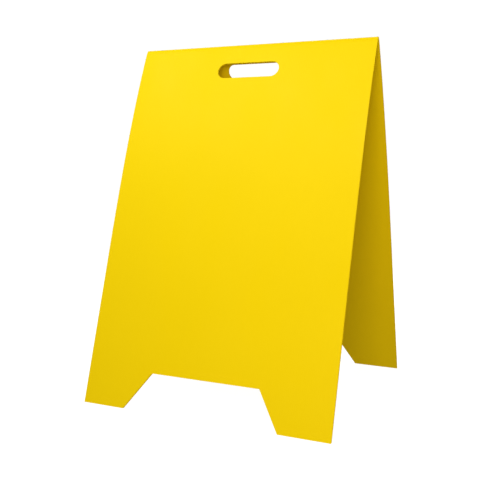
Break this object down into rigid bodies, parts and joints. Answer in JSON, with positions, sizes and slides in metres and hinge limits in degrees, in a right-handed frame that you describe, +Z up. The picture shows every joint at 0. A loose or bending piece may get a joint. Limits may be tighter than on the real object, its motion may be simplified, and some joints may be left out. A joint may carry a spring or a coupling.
{
  "type": "folding sign board",
  "caption": "Blank A-frame sign board folded from a fluted plastic sheet, with bowed leaves, hand slots, notched feet, a living hinge at the ridge and webbing stays inside.",
  "frame": {"origin": "on the floor below the middle of the ridge, which is the bottom centre of the bounding box", "axes": "+X along the ridge, to the right of someone facing the front leaf; +Y from the front leaf to the rear leaf; +Z up"},
  "size_m": [0.61, 0.6036, 0.853],
  "materials": {
    "sheet_plastic": "satin, yellow fluted polypropylene",
    "crushed_plastic": "satin, the same sheet crushed flat along the fold",
    "webbing": "woven black loop webbing",
    "hook_tape": "black moulded hook tape"
  },
  "bodies": {
    "front": {"front_panel": "sheet_plastic", "front_left_hook_patch": "hook_tape", "front_right_hook_patch": "hook_tape", "ridge_fold": "crushed_plastic", "left_stay": "webbing", "right_stay": "webbing"},
    "rear": {"rear_panel": "sheet_plastic", "rear_left_hook_patch": "hook_tape", "rear_right_hook_patch": "hook_tape"}
  },
  "joints": [
    {"name": "fold", "type": "hinge", "parent": "front", "child": "rear", "pos_m": [0, 0, 0.84968], "axis": [1, 0, 0], "range_deg": [-38.5, 0], "deforming": ["ridge_fold", "left_stay", "right_stay"]}
  ]
}
